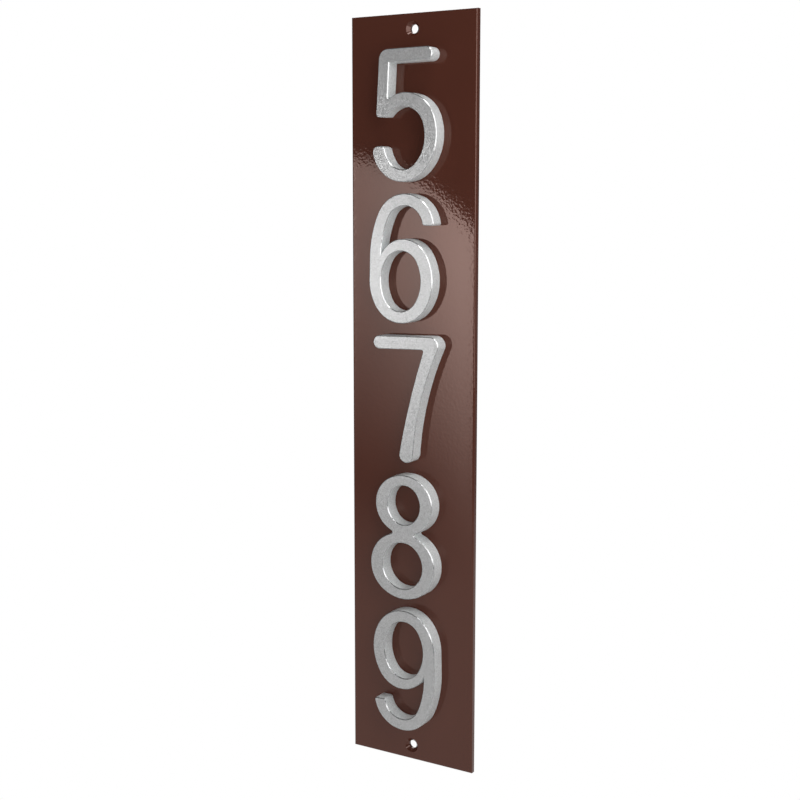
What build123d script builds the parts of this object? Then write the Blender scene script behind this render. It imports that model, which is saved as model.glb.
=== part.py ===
from build123d import *
from math import radians, sqrt, tan
import os

# House number plaque: a painted aluminium plate with five cast numerals stacked down its front.
# Pieces are drawn face-on: x to the right, y up and z out of the wall, with z = 0 on the plate's back.

# Plate
plate_width = 114.3
plate_height = 609.6
plate_thickness = 4.76
plate_edge_radius = 1.35

# Countersunk wall-screw holes, one near each end of the plate
wall_hole_diameter = 7.0
wall_sink_diameter = 12.0
wall_hole_end_distance = 12.0

# Numeral castings
numeral_height = 102.55
numeral_gap = 10.1
stack_rise = 0.8
numeral_depth = 12.0
front_edge_bevel = 0.6
bar_stroke = 10.55
bowl_stroke = 10.95
oval_roundness = 0.5

# How each numeral was set by hand, off the plate's middle and the even spacing: sideways, up, turn
five_place = (-1.3, 0.0, 0.5)
six_place = (-3.5, 1.05, -1.6)
seven_place = (0.0, 1.1, 1.45)
eight_place = (-1.7, 0.3, -0.9)
nine_place = (-0.5, 0.0, 1.2)

# Five: a bar, a leaning stem and a tilted oval bowl with a mouth on its left
five_bowl_width = 59.05
five_bowl_height = 69.05
five_bowl_tilt = 12.6
five_level_stroke = 10.15
five_counter_tilt = 6.0
five_counter_drop = 0.6
five_counter_top_roundness = 0.75
five_counter_base_roundness = 0.25
five_toe_set_back = 3.4
five_bar_inset = 3.5
five_stem_inset = 7.7
five_stem_width = 9.85
five_stem_lean = 3.9
five_foot_below_bowl = 18.1
five_tail_above_base = 28.05
five_shoulder_radius = 8.0
five_heel_radius = 2.4
five_toe_radius = 1.4
five_armpit_radius = 1.2
five_tail_outer_radius = 4.8
five_tail_inner_radius = 4.0

# Six: an oval bowl under a hooked stem. Turned half a turn, the same casting is the nine
six_bowl_width = 58.55
six_bowl_height = 67.05
six_bowl_set_in = 5.0
six_level_stroke = 9.45
six_stem_stroke = 10.35
six_hook_inset = 2.4
six_flank_radius = 84.4
six_tip_angle = 6.0
six_tip_radius = 1.9

# Seven: a bar with a round end and a bowed leg on a round foot
seven_bar_left = -28.32
seven_leg_top_left = 22.5
seven_leg_top_width = 14.2
seven_foot_x = 0.2
seven_foot_radius = 6.47
seven_front_lean = 12.2
seven_back_lean = 5.5
seven_shoulder_radius = 7.5
seven_crotch_radius = 1.6

# Eight: two oval rings, the smaller one on top, a little taller than the other numerals
eight_height = 103.45
eight_top_width = 53.35
eight_top_height = 49.6
eight_bottom_width = 60.55
eight_waist_overlap = 1.7
eight_crotch_radius = 1.4
eight_ring_stroke = 11.65
eight_level_stroke = 8.45
eight_top_shift = 0.4

# Flat-head screws, one for each numeral, put in from the plate's back
screw_diameter = 3.5
screw_head_diameter = 7.0
screw_length = 12.0
screw_head_recess = 0.2
screw_hole_clearance = 0.2
screw_seat_clearance = 0.1
tapped_hole_clearance = 0.1
tapped_hole_spare_depth = 1.2
drive_slot_width = 1.0
drive_slot_length = 3.8
drive_slot_depth = 1.1

# Measures that several pieces share
half_height = numeral_height / 2
numeral_pitch = numeral_height + numeral_gap
wall_hole_height = plate_height / 2 - wall_hole_end_distance
tapped_hole_depth = screw_head_recess + screw_length + tapped_hole_spare_depth - plate_thickness
tapped_hole_radius = screw_diameter / 2 + tapped_hole_clearance
on_base = (Align.CENTER, Align.CENTER, Align.MIN)
on_top = (Align.CENTER, Align.CENTER, Align.MAX)


def oval(width, height, roundness=oval_roundness):
    # An oval of four tangent arcs about the origin. The rounder it is, the wider its end arcs reach
    long = max(width, height) / 2
    short = min(width, height) / 2
    if long - short < 0.001:
        return Circle(long)
    end_radius = roundness * short + (1 - roundness) * short**2 / long
    side_radius = ((long - end_radius) ** 2 + short**2 - end_radius**2) / (2 * (short - end_radius))
    end_centre = Vector(0, long - end_radius)
    side_centre = Vector(short - side_radius, 0)
    joint = end_centre + (end_centre - side_centre).normalized() * end_radius
    x, y = joint.X, joint.Y
    right = ThreePointArc((x, -y), (short, 0), (x, y))
    top = ThreePointArc((x, y), (0, long), (-x, y))
    left = ThreePointArc((-x, y), (-short, 0), (-x, -y))
    bottom = ThreePointArc((-x, -y), (0, -long), (x, -y))
    upright = make_face([right, top, left, bottom])
    return upright if height > width else Rot(0, 0, 90) * upright


def block(left, bottom, right, top):
    return Pos((left + right) / 2, (bottom + top) / 2) * Rectangle(right - left, top - bottom)


def round_corner(outline, radius, x, y):
    # Rounds the corner of the outline that lies nearest to the point
    nearest = outline.vertices().sort_by_distance(Vector(x, y))[0]
    return fillet(nearest, radius)


def casting(outline, screw_point):
    # A casting with a bevelled front edge and a tapped hole in its back
    body = extrude(outline, numeral_depth)
    front = body.faces().sort_by(Axis.Z)[-1]
    body = chamfer(front.edges(), front_edge_bevel)
    return body - Pos(*screw_point) * Cylinder(tapped_hole_radius, tapped_hole_depth, align=on_base)


def five():
    # The upper half of the bowl's inside reaches further left, which sets the toe back
    inside_width = five_bowl_width - 2 * bowl_stroke
    inside_height = five_bowl_height - 2 * five_level_stroke
    far = five_bowl_width
    upper = oval(inside_width + five_toe_set_back, inside_height, five_counter_top_roundness)
    upper = Pos(-five_toe_set_back / 2, 0) * upper & block(-far, 0, far, far)
    lower = oval(inside_width, inside_height, five_counter_base_roundness)
    lower &= block(-far, -far, far, 0)
    inside = Pos(0, -five_counter_drop) * Rot(0, 0, -five_counter_tilt) * (upper + lower)
    bowl = Rot(0, 0, -five_bowl_tilt) * oval(five_bowl_width, five_bowl_height)
    bowl_box = bowl.bounding_box()
    lift = Pos(0, -half_height - bowl_box.min.Y)
    foot = bowl_box.size.Y - half_height - five_foot_below_bowl
    tail = five_tail_above_base - half_height
    stem_left = five_stem_inset - five_bowl_width / 2
    foot_left = stem_left - (half_height - foot) * tan(radians(five_stem_lean))
    foot_right = foot_left + five_stem_width
    stem_top_left = (stem_left, half_height)
    stem_top_right = (stem_left + five_stem_width, half_height)
    mouth = block(-far, tail, 0, foot)
    heel = (foot_left, foot)
    stem = make_face(Polyline(stem_top_left, heel, (foot_right, foot), stem_top_right, close=True))
    outside = make_face(Polyline(stem_top_left, (-far, half_height), (-far, foot), heel, close=True))
    bar_bottom = half_height - bar_stroke
    bar_round = five_bowl_width / 2 - five_bar_inset - bar_stroke / 2
    bar = block(stem_left, bar_bottom, bar_round, half_height)
    bar += Pos(bar_round, half_height - bar_stroke / 2) * Circle(bar_stroke / 2)
    outline = lift * bowl - outside + stem + bar - mouth - lift * inside
    outline = round_corner(outline, five_shoulder_radius, *stem_top_left)
    outline = round_corner(outline, five_heel_radius, *heel)
    outline = round_corner(outline, five_toe_radius, foot_right, foot)
    outline = round_corner(outline, five_armpit_radius, foot_right, foot + five_level_stroke)
    outline = round_corner(outline, five_tail_outer_radius, -five_bowl_width / 2, tail)
    outline = round_corner(outline, five_tail_inner_radius, bowl_stroke - five_bowl_width / 2, tail)
    screw_point = (0, bowl_box.size.Y - half_height - five_level_stroke / 2)
    return casting(outline, screw_point), screw_point


def arch(left, right, top, bottom, flank_radius):
    # One edge of the six's stem: it climbs, leans over in a wide flank and ends in a round hook
    hook_radius = (right - left) / 2 - six_hook_inset
    hook = Vector(right - hook_radius, top - hook_radius)
    rise = 2 * sqrt(six_hook_inset * (flank_radius - hook_radius - six_hook_inset))
    flank_start = Vector(left, hook.Y - rise)
    flank_centre = flank_start + Vector(flank_radius, 0)
    flank_end = hook + (hook - flank_centre).normalized() * hook_radius
    tip = hook + Vector(hook_radius, 0).rotate(Axis.Z, six_tip_angle)
    climb = Line((left, bottom), flank_start)
    flank = TangentArc(flank_start, flank_end, tangent=(0, 1))
    bend = TangentArc(flank_end, tip, tangent=flank % 1)
    return [climb, flank, bend]


def six():
    # The upper half of the bowl is set in from the stem's side, which deepens the crotch between them
    side = six_bowl_width / 2
    far = six_bowl_width
    upper = oval(six_bowl_width - six_bowl_set_in, six_bowl_height)
    upper = Pos(six_bowl_set_in / 2, 0) * upper & block(-far, 0, far, far)
    lower = oval(six_bowl_width, six_bowl_height) & block(-far, -far, far, 0)
    bowl_centre = (0, six_bowl_height / 2 - half_height)
    counter_width = six_bowl_width - 2 * bowl_stroke
    counter_height = six_bowl_height - 2 * six_level_stroke
    outer = arch(-side, side, half_height, bowl_centre[1], six_flank_radius)
    inner_top = half_height - six_level_stroke
    inner_left = six_stem_stroke - side
    inner = arch(inner_left, -inner_left, inner_top, bowl_centre[1], six_flank_radius - six_stem_stroke)
    outer_tip = outer[-1] @ 1
    inner_tip = inner[-1] @ 1
    ends = [Line(outer_tip, inner_tip), Line(inner[0] @ 0, outer[0] @ 0)]
    outline = Pos(*bowl_centre) * (upper + lower) + make_face(outer + inner + ends)
    for tip in (outer_tip, inner_tip):
        outline = round_corner(outline, six_tip_radius, tip.X, tip.Y)
    outline -= Pos(*bowl_centre) * oval(counter_width, counter_height)
    screw_point = (0, six_bowl_height - half_height - six_level_stroke / 2)
    return casting(outline, screw_point), screw_point


def seven():
    bar_bottom = half_height - bar_stroke
    bar_round = seven_bar_left + bar_stroke / 2
    leg_top_left = (seven_leg_top_left, half_height)
    leg_top_right = (seven_leg_top_left + seven_leg_top_width, half_height)
    bar = block(bar_round, bar_bottom, seven_leg_top_left + seven_leg_top_width / 2, half_height)
    bar += Pos(bar_round, half_height - bar_stroke / 2) * Circle(bar_stroke / 2)
    foot_centre = (seven_foot_x, seven_foot_radius - half_height)
    sweep = 180 + seven_front_lean - seven_back_lean
    foot = CenterArc(foot_centre, seven_foot_radius, 180 - seven_front_lean, sweep)
    front_edge = TangentArc(foot @ 0, leg_top_left, tangent=(foot % 0) * -1)
    back_edge = TangentArc(foot @ 1, leg_top_right, tangent=foot % 1)
    outline = bar + make_face([foot, back_edge, Line(leg_top_right, leg_top_left), front_edge])
    outline = round_corner(outline, seven_shoulder_radius, *leg_top_right)
    outline = round_corner(outline, seven_crotch_radius, seven_leg_top_left, bar_bottom)
    screw_point = (front_edge @ 0.5 + back_edge @ 0.5) / 2
    return casting(outline, screw_point), screw_point


def eight():
    bottom_height = eight_height - eight_top_height + eight_waist_overlap
    top_centre = (eight_top_shift, (eight_height - eight_top_height) / 2)
    bottom_centre = (0, (bottom_height - eight_height) / 2)
    top_ring = (top_centre, eight_top_width, eight_top_height)
    bottom_ring = (bottom_centre, eight_bottom_width, bottom_height)
    outline = Sketch()
    for centre, width, height in (top_ring, bottom_ring):
        outline += Pos(*centre) * oval(width, height)
    waist = eight_height / 2 - eight_top_height
    for side in (-1, 1):
        outline = round_corner(outline, eight_crotch_radius, side * eight_level_stroke / 2, waist)
    for centre, width, height in (top_ring, bottom_ring):
        outline -= Pos(*centre) * oval(width - 2 * eight_ring_stroke, height - 2 * eight_level_stroke)
    screw_point = (eight_top_shift / 2, waist)
    return casting(outline, screw_point), screw_point


def screw():
    # Lies along z with its head at the plate's back and its point in the numeral
    radius = screw_diameter / 2
    head_height = screw_head_diameter / 2 - radius
    body = Cylinder(radius, screw_length, align=on_base)
    body += Cone(screw_head_diameter / 2, radius, head_height, align=on_base)
    for turn in (0, 90):
        body -= Rot(0, 0, turn) * Box(drive_slot_length, drive_slot_width, 2 * drive_slot_depth)
    return Pos(0, 0, screw_head_recess) * body


def screw_hole():
    radius = screw_diameter / 2 + screw_hole_clearance
    mouth_radius = screw_head_diameter / 2 + screw_seat_clearance + screw_head_recess
    sink = Cone(mouth_radius, radius, mouth_radius - radius, align=on_base)
    return Cylinder(radius, plate_thickness, align=on_base) + sink


def wall_hole():
    radius = wall_hole_diameter / 2
    mouth_radius = wall_sink_diameter / 2
    sink = Cone(radius, mouth_radius, mouth_radius - radius, align=on_top)
    return Cylinder(radius, plate_thickness, align=on_base) + Pos(0, 0, plate_thickness) * sink


def back_plate(screw_places):
    body = Box(plate_width, plate_height, plate_thickness, align=on_base)
    front = body.faces().sort_by(Axis.Z)[-1]
    body = fillet(front.edges(), plate_edge_radius)
    for end in (-1, 1):
        body -= Pos(0, end * wall_hole_height) * wall_hole()
    for place in screw_places:
        body -= place * screw_hole()
    return body


# From the top down: name, casting with its screw point, place and half turns
numerals = [
    ("numeral_five", five(), five_place, 0),
    ("numeral_six", six(), six_place, 0),
    ("numeral_seven", seven(), seven_place, 0),
    ("numeral_eight", eight(), eight_place, 0),
    ("numeral_nine", six(), nine_place, 1),
]
pieces = {}
screw_places = []
height = stack_rise + numeral_pitch * (len(numerals) - 1) / 2
for name, (body, screw_point), (sideways, up, turn), half_turns in numerals:
    place = Pos(sideways, height + up) * Rot(0, 0, turn + 180 * half_turns)
    pieces[name] = Pos(0, 0, plate_thickness) * place * body
    screw_places.append(place * Pos(*screw_point))
    height -= numeral_pitch
pieces["numeral_screws"] = Part() + [place * screw() for place in screw_places]
pieces["back_plate"] = back_plate(screw_places)

# Stand the plaque up: its front faces -Y and its back lies on the wall at y = 0
os.makedirs("parts", exist_ok=True)
for name, piece in pieces.items():
    export_step(Plane.XZ * piece, f"parts/{name}.step")
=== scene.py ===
from math import pi, radians

import bpy
from mathutils import Matrix, Vector


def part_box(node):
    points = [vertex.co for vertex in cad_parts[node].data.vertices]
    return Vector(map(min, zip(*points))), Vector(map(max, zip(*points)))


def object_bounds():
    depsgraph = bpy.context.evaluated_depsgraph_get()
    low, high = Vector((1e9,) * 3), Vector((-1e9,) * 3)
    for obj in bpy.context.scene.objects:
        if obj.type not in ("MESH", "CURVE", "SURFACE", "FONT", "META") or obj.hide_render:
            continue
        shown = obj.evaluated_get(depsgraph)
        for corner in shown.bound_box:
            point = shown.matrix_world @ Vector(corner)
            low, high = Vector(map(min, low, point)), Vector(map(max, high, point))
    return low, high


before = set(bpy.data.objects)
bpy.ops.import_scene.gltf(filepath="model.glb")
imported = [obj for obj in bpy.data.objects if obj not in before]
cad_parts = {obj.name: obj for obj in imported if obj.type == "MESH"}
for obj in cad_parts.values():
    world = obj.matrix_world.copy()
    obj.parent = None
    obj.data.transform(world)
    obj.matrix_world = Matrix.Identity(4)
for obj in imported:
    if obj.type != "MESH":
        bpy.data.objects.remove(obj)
cadLow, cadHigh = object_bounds()
print("frame loaded with", len(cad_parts), "pieces")

scene = bpy.context.scene
scene.view_settings.view_transform = "Standard"
white = (1, 1, 1, 1)


# camera: stands to the right of the plaque and looks a little down on it
photoView = {
    "place": (0.5550, -0.9309, 0.1650),
    "turn": 31.451,  # to the left of straight at the wall, degrees
    "dip": 8.160,  # below level, degrees
    "roll": 0.023,  # degrees
    "focalPixels": 1350.0,
    "framePixels": 800.0,
    "shift": -0.015,  # of the frame
    "sensorWidth": 36.0,  # millimetres
    "nearest": 0.01,  # what comes closer isn't drawn
}


def addCamera(view):
    data = bpy.data.cameras.new("photoCamera")
    data.sensor_width = view["sensorWidth"]
    data.lens = view["focalPixels"] / view["framePixels"] * view["sensorWidth"]
    data.shift_y = view["shift"]
    data.clip_start = view["nearest"]
    camera = bpy.data.objects.new("photoCamera", data)
    scene.collection.objects.link(camera)
    # an unturned camera looks straight down, and 90 degrees makes it level
    camera.rotation_euler = (radians(90 - view["dip"]), 0, radians(view["turn"]))
    turned = camera.rotation_euler.to_matrix() @ Matrix.Rotation(radians(view["roll"]), 3, "Z")
    camera.rotation_euler = turned.to_euler()
    camera.location = view["place"]
    scene.camera = camera


addCamera(photoView)
print("camera placed")


# node helpers
def newMaterial(name):
    material = bpy.data.materials.new(name)
    material.use_nodes = True
    nodes = material.node_tree.nodes
    nodes.clear()
    return material, nodes, material.node_tree.links


def newGroup(name, inputs, outputs):
    group = bpy.data.node_groups.new(name, "ShaderNodeTree")
    for socketName, socketType in inputs:
        group.interface.new_socket(socketName, in_out="INPUT", socket_type=socketType)
    for socketName, socketType in outputs:
        group.interface.new_socket(socketName, in_out="OUTPUT", socket_type=socketType)
    return group, group.nodes, group.links


def addNode(nodes, kind, **values):
    node = nodes.new(kind)
    for name, value in values.items():
        setattr(node, name, value)
    return node


def addShader(nodes, links):
    output = nodes.new("ShaderNodeOutputMaterial")
    shader = nodes.new("ShaderNodeBsdfPrincipled")
    links.new(shader.outputs["BSDF"], output.inputs["Surface"])
    return shader


def addTones(nodes, first, last):  # from the first colour to the last
    tones = addNode(nodes, "ShaderNodeMix", data_type="RGBA")
    tones.inputs["A"].default_value = first
    tones.inputs["B"].default_value = last
    return tones


def addSpread(nodes, middle, spread):  # from half the spread below the middle to half above it
    values = nodes.new("ShaderNodeMapRange")
    values.inputs["To Min"].default_value = middle - spread / 2
    values.inputs["To Max"].default_value = middle + spread / 2
    return values


# orange peel: low round dimples left by a powder coat, and a fine grain in its gloss
peelShape = {
    "dimpleDetail": 1.0,
    "dimpleRoughness": 0.4,
    "grainScale": 2600.0,
    "grainDetail": 2.0,
}


def orangePeelGroup(shape):
    group, nodes, links = newGroup(
        "orangePeel",
        [("Scale", "NodeSocketFloat")],
        [("Height", "NodeSocketFloat"), ("Grain", "NodeSocketFloat")],
    )
    entry = nodes.new("NodeGroupInput")
    result = nodes.new("NodeGroupOutput")
    place = nodes.new("ShaderNodeTexCoord")
    dimples = nodes.new("ShaderNodeTexNoise")
    dimples.inputs["Detail"].default_value = shape["dimpleDetail"]
    dimples.inputs["Roughness"].default_value = shape["dimpleRoughness"]
    grain = nodes.new("ShaderNodeTexNoise")
    grain.inputs["Scale"].default_value = shape["grainScale"]
    grain.inputs["Detail"].default_value = shape["grainDetail"]
    links.new(place.outputs["Object"], dimples.inputs["Vector"])
    links.new(place.outputs["Object"], grain.inputs["Vector"])
    links.new(entry.outputs["Scale"], dimples.inputs["Scale"])
    links.new(dimples.outputs["Fac"], result.inputs["Height"])
    links.new(grain.outputs["Fac"], result.inputs["Grain"])
    return group


orangePeel = orangePeelGroup(peelShape)


# plate: gloss dark brown powder coat
plateLook = {
    "brown": (0.069, 0.0205, 0.0128, 1.0),
    "darkBrown": (0.061, 0.0178, 0.0110, 1.0),
    "cloudScale": 18.0,  # broad clouds between the two browns
    "cloudDetail": 3.0,
    "gloss": 0.045,  # roughness of the coat
    "glossSpread": 0.02,
    "refraction": 1.5,
    "specularTint": (1.0, 0.72, 0.64, 1.0),
    "peelScale": 480.0,
    "peelDepth": 0.000025,  # metres
}


def plateCoat(look):
    material, nodes, links = newMaterial("plateCoat")
    shader = addShader(nodes, links)
    shader.inputs["IOR"].default_value = look["refraction"]
    shader.inputs["Specular Tint"].default_value = look["specularTint"]
    place = nodes.new("ShaderNodeTexCoord")
    clouds = nodes.new("ShaderNodeTexNoise")
    clouds.inputs["Scale"].default_value = look["cloudScale"]
    clouds.inputs["Detail"].default_value = look["cloudDetail"]
    tone = addTones(nodes, look["darkBrown"], look["brown"])
    peel = addNode(nodes, "ShaderNodeGroup", node_tree=orangePeel)
    peel.inputs["Scale"].default_value = look["peelScale"]
    rough = addSpread(nodes, look["gloss"], look["glossSpread"])
    bump = nodes.new("ShaderNodeBump")
    bump.inputs["Distance"].default_value = look["peelDepth"]
    links.new(place.outputs["Object"], clouds.inputs["Vector"])
    links.new(clouds.outputs["Fac"], tone.inputs["Factor"])
    links.new(tone.outputs["Result"], shader.inputs["Base Color"])
    links.new(peel.outputs["Grain"], rough.inputs["Value"])
    links.new(rough.outputs["Result"], shader.inputs["Roughness"])
    links.new(peel.outputs["Height"], bump.inputs["Height"])
    links.new(bump.outputs["Normal"], shader.inputs["Normal"])
    return material


# flakes: small metallic plates, each of its own shade and leaning its own way
def flakesGroup():
    group, nodes, links = newGroup(
        "flakes",
        [("Scale", "NodeSocketFloat"), ("Tilt", "NodeSocketFloat")],
        [("Tone", "NodeSocketFloat"), ("Normal", "NodeSocketVector")],
    )
    entry = nodes.new("NodeGroupInput")
    result = nodes.new("NodeGroupOutput")
    place = nodes.new("ShaderNodeTexCoord")
    cells = addNode(nodes, "ShaderNodeTexVoronoi", feature="F1")
    shade = nodes.new("ShaderNodeSeparateColor")
    lean = addNode(nodes, "ShaderNodeVectorMath", operation="SUBTRACT")
    lean.inputs[1].default_value = (0.5, 0.5, 0.5)  # a cell's colour runs from 0 to 1
    amount = addNode(nodes, "ShaderNodeVectorMath", operation="SCALE")
    surface = nodes.new("ShaderNodeNewGeometry")
    tilted = addNode(nodes, "ShaderNodeVectorMath", operation="ADD")
    unit = addNode(nodes, "ShaderNodeVectorMath", operation="NORMALIZE")
    links.new(place.outputs["Object"], cells.inputs["Vector"])
    links.new(entry.outputs["Scale"], cells.inputs["Scale"])
    links.new(cells.outputs["Color"], shade.inputs["Color"])
    links.new(shade.outputs["Red"], result.inputs["Tone"])
    links.new(cells.outputs["Color"], lean.inputs[0])
    links.new(lean.outputs["Vector"], amount.inputs[0])
    links.new(entry.outputs["Tilt"], amount.inputs["Scale"])
    links.new(surface.outputs["Normal"], tilted.inputs[0])
    links.new(amount.outputs["Vector"], tilted.inputs[1])
    links.new(tilted.outputs["Vector"], unit.inputs[0])
    links.new(unit.outputs["Vector"], result.inputs["Normal"])
    return group


flakes = flakesGroup()


def addFlakes(nodes, scale, tilt):
    node = addNode(nodes, "ShaderNodeGroup", node_tree=flakes)
    node.inputs["Scale"].default_value = scale
    node.inputs["Tilt"].default_value = tilt
    return node


# numerals: faces rubbed down to a satin metal, bevels rubbed bright, sides given a lighter grey as
# painted light that stands in for light falling from the right
silverLook = {
    "face": {"grey": 0.41, "metallic": 0.46, "satin": 0.25},  # satin is the roughness
    "bevel": {"grey": 0.40, "metallic": 0.85, "satin": 0.21},
    # the sides' lighter grey is painted light for light from the right; their metallic and satin are
    # their finish
    "side": {"grey": 0.72, "metallic": 0.15, "satin": 0.40},
    "outward": (0, -1, 0),  # out of the wall
    "bevelLean": 0.707,  # how far the bevels point outward: faces 1, sides 0
    "bevelRange": 0.15,
    "sideTint": (0.955, 0.995, 1.0, 1.0),  # painted: a little cool, offsetting the warm light the plate's brown throws onto the sides
    "faceTint": white,
    "toneSpread": 0.38,  # from the darkest flake to the lightest
    "flakeScale": 1700.0,
    "flakeTilt": 0.12,
}


def numeralSilver(look):
    material, nodes, links = newMaterial("numeralSilver")
    shader = addShader(nodes, links)
    sparkle = addFlakes(nodes, look["flakeScale"], look["flakeTilt"])
    # faces, bevels and sides are told apart by how far they point outward; the sides' lighter grey there
    # is painted light
    surface = nodes.new("ShaderNodeNewGeometry")
    facing = addNode(nodes, "ShaderNodeVectorMath", operation="DOT_PRODUCT")
    facing.inputs[1].default_value = look["outward"]
    onBevel = addNode(nodes, "ShaderNodeMath", operation="COMPARE")
    onBevel.inputs[1].default_value = look["bevelLean"]
    onBevel.inputs[2].default_value = look["bevelRange"]
    links.new(surface.outputs["True Normal"], facing.inputs[0])
    links.new(facing.outputs["Value"], onBevel.inputs[0])

    def byFacing(quality):
        flat = nodes.new("ShaderNodeMapRange")
        flat.inputs["To Min"].default_value = look["side"][quality]
        flat.inputs["To Max"].default_value = look["face"][quality]
        rubbed = addNode(nodes, "ShaderNodeMix", data_type="FLOAT")
        rubbed.inputs["B"].default_value = look["bevel"][quality]
        links.new(facing.outputs["Value"], flat.inputs["Value"])
        links.new(flat.outputs["Result"], rubbed.inputs["A"])
        links.new(onBevel.outputs["Value"], rubbed.inputs["Factor"])
        return rubbed.outputs["Result"]

    grain = addSpread(nodes, 1.0, look["toneSpread"])
    grey = addNode(nodes, "ShaderNodeMath", operation="MULTIPLY")
    # sides take the cool tint, a painted offset of the plate's warm reflected light
    tint = addTones(nodes, look["sideTint"], look["faceTint"])
    colour = addNode(nodes, "ShaderNodeVectorMath", operation="SCALE")
    links.new(sparkle.outputs["Tone"], grain.inputs["Value"])
    links.new(byFacing("grey"), grey.inputs[0])
    links.new(grain.outputs["Result"], grey.inputs[1])
    links.new(facing.outputs["Value"], tint.inputs["Factor"])
    links.new(tint.outputs["Result"], colour.inputs[0])
    links.new(grey.outputs["Value"], colour.inputs["Scale"])
    links.new(colour.outputs["Vector"], shader.inputs["Base Color"])
    links.new(byFacing("metallic"), shader.inputs["Metallic"])
    links.new(byFacing("satin"), shader.inputs["Roughness"])
    links.new(sparkle.outputs["Normal"], shader.inputs["Normal"])
    return material


# screws: zinc plated steel with a fine crystal grain
zincLook = {
    "zinc": (0.60, 0.61, 0.63, 1.0),
    "darkZinc": (0.44, 0.45, 0.48, 1.0),
    "metallic": 1.0,
    "polish": 0.28,  # roughness of the plating
    "polishSpread": 0.12,
    "grainScale": 900.0,
    "grainTilt": 0.10,
}


def screwZinc(look):
    material, nodes, links = newMaterial("screwZinc")
    shader = addShader(nodes, links)
    shader.inputs["Metallic"].default_value = look["metallic"]
    sparkle = addFlakes(nodes, look["grainScale"], look["grainTilt"])
    tone = addTones(nodes, look["darkZinc"], look["zinc"])
    rough = addSpread(nodes, look["polish"], look["polishSpread"])
    links.new(sparkle.outputs["Tone"], tone.inputs["Factor"])
    links.new(tone.outputs["Result"], shader.inputs["Base Color"])
    links.new(sparkle.outputs["Tone"], rough.inputs["Value"])
    links.new(rough.outputs["Result"], shader.inputs["Roughness"])
    links.new(sparkle.outputs["Normal"], shader.inputs["Normal"])
    return material


def dress(names, material):
    for name in names:
        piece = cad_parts[name]
        piece.data.materials.clear()
        piece.data.materials.append(material)


numeralNames = ["numeral_" + word for word in ("five", "six", "seven", "eight", "nine")]
dress(["back_plate"], plateCoat(plateLook))
dress(numeralNames, numeralSilver(silverLook))
dress(["numeral_screws"], screwZinc(zincLook))
print("finishes applied")


# studio: white all round for the camera, softer greys for the light
studio = {
    "frontGrey": 0.12,  # the room in front of the plaque
    "backGrey": 0.14,  # the backdrop behind it, a little brighter
    "blendStart": -0.15,  # from the room to the backdrop, along the line into the wall
    "blendEnd": 0.45,
    "floorDrop": 0.45,  # below the plaque's foot
    "floorSize": 40.0,
    "floorGlow": 0.86,  # in the pool of light round the plaque
    "floorDusk": 0.25,  # outside it
    "poolStart": 1.8,  # from the plaque's middle to where the pool begins to fade
    "poolEnd": 3.6,
}


def addSmoothRange(nodes, start, end, first, last):
    values = addNode(nodes, "ShaderNodeMapRange", interpolation_type="SMOOTHSTEP")
    values.inputs["From Min"].default_value = start
    values.inputs["From Max"].default_value = end
    values.inputs["To Min"].default_value = first
    values.inputs["To Max"].default_value = last
    return values


def whiteForCamera(nodes, links, lit, output):
    seen = nodes.new(lit.bl_idname)
    path = nodes.new("ShaderNodeLightPath")
    mix = nodes.new("ShaderNodeMixShader")
    for glow in (lit, seen):
        glow.inputs["Color"].default_value = white
    links.new(path.outputs["Is Camera Ray"], mix.inputs["Fac"])
    links.new(lit.outputs[0], mix.inputs[1])
    links.new(seen.outputs[0], mix.inputs[2])
    links.new(mix.outputs["Shader"], output.inputs["Surface"])


def addWorld(values):
    world = bpy.data.worlds.new("studio")
    scene.world = world
    world.use_nodes = True
    nodes = world.node_tree.nodes
    links = world.node_tree.links
    nodes.clear()
    output = nodes.new("ShaderNodeOutputWorld")
    place = nodes.new("ShaderNodeTexCoord")
    split = nodes.new("ShaderNodeSeparateXYZ")
    shade = addSmoothRange(
        nodes, values["blendStart"], values["blendEnd"], values["frontGrey"], values["backGrey"]
    )
    lit = nodes.new("ShaderNodeBackground")
    links.new(place.outputs["Generated"], split.inputs["Vector"])
    links.new(split.outputs["Y"], shade.inputs["Value"])
    links.new(shade.outputs["Result"], lit.inputs["Strength"])
    whiteForCamera(nodes, links, lit, output)


def addFloor(values):
    bpy.ops.object.select_all(action="DESELECT")
    height = cadLow.z - values["floorDrop"]
    bpy.ops.mesh.primitive_plane_add(size=values["floorSize"], location=(0, 0, height))
    floor = bpy.context.object
    floor.name = "floor"
    bpy.ops.object.transform_apply(location=True)
    material, nodes, links = newMaterial("paleFloor")
    output = nodes.new("ShaderNodeOutputMaterial")
    place = nodes.new("ShaderNodeTexCoord")
    away = addNode(nodes, "ShaderNodeVectorMath", operation="LENGTH")
    pool = addSmoothRange(
        nodes, values["poolStart"], values["poolEnd"], values["floorGlow"], values["floorDusk"]
    )
    lit = nodes.new("ShaderNodeEmission")
    links.new(place.outputs["Object"], away.inputs[0])
    links.new(away.outputs["Value"], pool.inputs["Value"])
    links.new(pool.outputs["Result"], lit.inputs["Strength"])
    whiteForCamera(nodes, links, lit, output)
    floor.data.materials.append(material)


addWorld(studio)
addFloor(studio)
print("room and floor ready")


# bounce sheet: a bright sheet to the left, seen in the gloss of the plate
bounceSheet = {
    "edgeHeight": 0.1785,  # where its upper edge shows in the plate, on the middle line
    "edgeSlope": -0.51,  # falls to the right
    "edgeBend": -3.9,  # and bends down at both ends
    "fade": 0.285,  # how far down the plate it shows
    "sideRoom": 0.150,  # to each side of the plate's middle line
    "steps": 12,  # across the sheet
    "reach": 1.2,  # along the mirrored line of sight, times the camera's distance
    "strength": 8.2,
    # share of the strength across the sheet, from left to right: the plate mirrors only the middle
    "glowStops": [(0.0, 0.78), (0.26, 0.78), (0.31, 0.31), (0.68, 0.68), (0.73, 0.08)],
}


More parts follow.
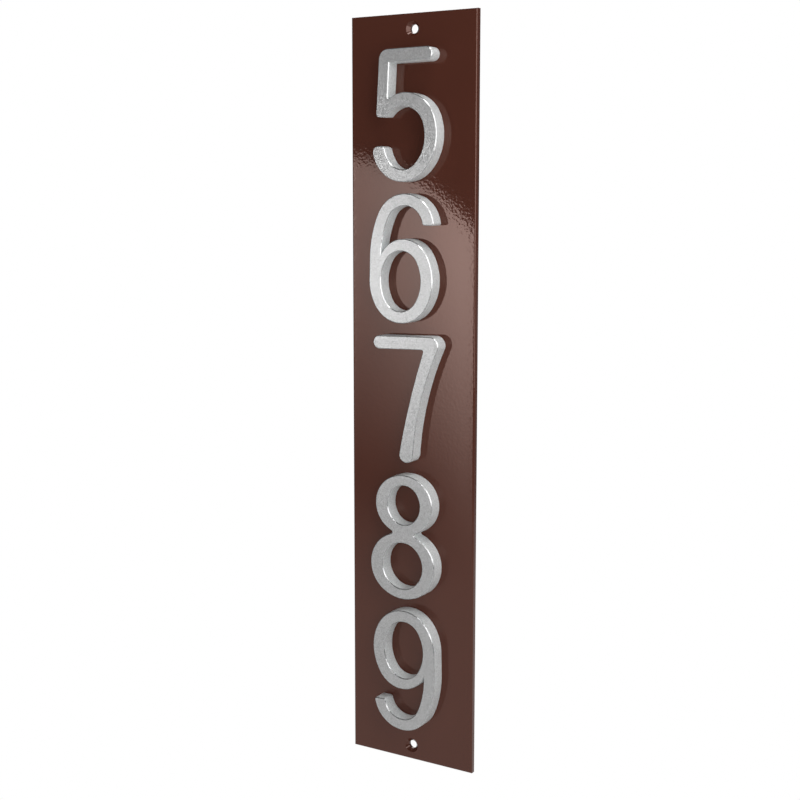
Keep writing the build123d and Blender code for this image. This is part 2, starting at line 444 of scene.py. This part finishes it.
# the point that a spot on the plate's face mirrors to the camera
def mirrored(sideways, up, reach):
    eye = Vector(photoView["place"])
    spot = Vector((sideways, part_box("back_plate")[0].y, up))
    sight = spot - eye
    sight.y = -sight.y
    return spot + sight * reach


def sheetGlow(values):
    material, nodes, links = newMaterial("bounceGlow")
    output = nodes.new("ShaderNodeOutputMaterial")
    place = nodes.new("ShaderNodeTexCoord")
    split = nodes.new("ShaderNodeSeparateXYZ")
    across = nodes.new("ShaderNodeValToRGB")
    stops = across.color_ramp.elements
    while len(stops) < len(values["glowStops"]):
        stops.new(1.0)
    for stop, (position, share) in zip(stops, values["glowStops"]):
        stop.position = position
        stop.color = (share, share, share, 1)
    bright = addNode(nodes, "ShaderNodeMath", operation="MULTIPLY")
    bright.inputs[1].default_value = values["strength"]
    down = addNode(nodes, "ShaderNodeMapRange", interpolation_type="SMOOTHSTEP")
    fade = addNode(nodes, "ShaderNodeMath", operation="MULTIPLY")
    glow = nodes.new("ShaderNodeEmission")
    clear = nodes.new("ShaderNodeBsdfTransparent")
    veil = nodes.new("ShaderNodeAddShader")
    links.new(place.outputs["UV"], split.inputs["Vector"])
    links.new(split.outputs["X"], across.inputs["Fac"])
    links.new(across.outputs["Color"], bright.inputs[0])
    links.new(split.outputs["Y"], down.inputs["Value"])
    links.new(down.outputs["Result"], fade.inputs[0])
    links.new(bright.outputs["Value"], fade.inputs[1])
    links.new(fade.outputs["Value"], glow.inputs["Strength"])
    links.new(glow.outputs["Emission"], veil.inputs[0])
    links.new(clear.outputs["BSDF"], veil.inputs[1])
    links.new(veil.outputs["Shader"], output.inputs["Surface"])
    return material


def addBounceSheet(values):
    bpy.ops.object.select_all(action="DESELECT")
    # a grid from -1 to 1 each way, bent to the shape that the plate mirrors
    bpy.ops.mesh.primitive_grid_add(x_subdivisions=values["steps"], y_subdivisions=1, size=2)
    sheet = bpy.context.object
    sheet.name = "bounceSheet"
    for vertex in sheet.data.vertices:
        sideways = vertex.co.x * values["sideRoom"]
        down = (1 - vertex.co.y) / 2 * values["fade"]
        edge = values["edgeHeight"] + values["edgeSlope"] * sideways + values["edgeBend"] * sideways ** 2
        vertex.co = mirrored(sideways, edge - down, values["reach"])
    sheet.visible_camera = False
    sheet.data.materials.append(sheetGlow(values))


addBounceSheet(bounceSheet)
print("bounce sheet ready")


# soft boxes: the right one draws the bright lines on the numerals' edges
softBoxes = {
    "rightBox": {"place": (0.62, -0.40, 0.38), "aim": (0, 0, 0.30), "size": (0.36, 0.95), "glow": 3.6},
    "frontBox": {"place": (0.85, -1.43, 0.30), "aim": (0, 0, 0), "size": (0.60, 0.60), "glow": 4.5},
    "topBox": {"place": (0.5, -0.17, 1.4), "aim": (0.4, -0.17, 0), "size": (1.4, 0.35), "glow": 8.0},
    "backBox": {"place": (-0.6, 1.4, 0.6), "aim": (0, 0, 0), "size": (1.0, 1.0), "glow": 3.0},
}


def addSoftBox(name, values):
    data = bpy.data.lights.new(name, "AREA")
    data.shape = "RECTANGLE"
    data.size, data.size_y = values["size"]
    data.energy = values["glow"] * pi * data.size * data.size_y  # as bright at any size
    light = bpy.data.objects.new(name, data)
    scene.collection.objects.link(light)
    light.location = values["place"]
    sight = Vector(values["aim"]) - Vector(values["place"])
    light.rotation_euler = sight.to_track_quat("-Z", "Y").to_euler()
    light.visible_camera = False


for boxName, boxValues in softBoxes.items():
    addSoftBox(boxName, boxValues)
print("studio lit")
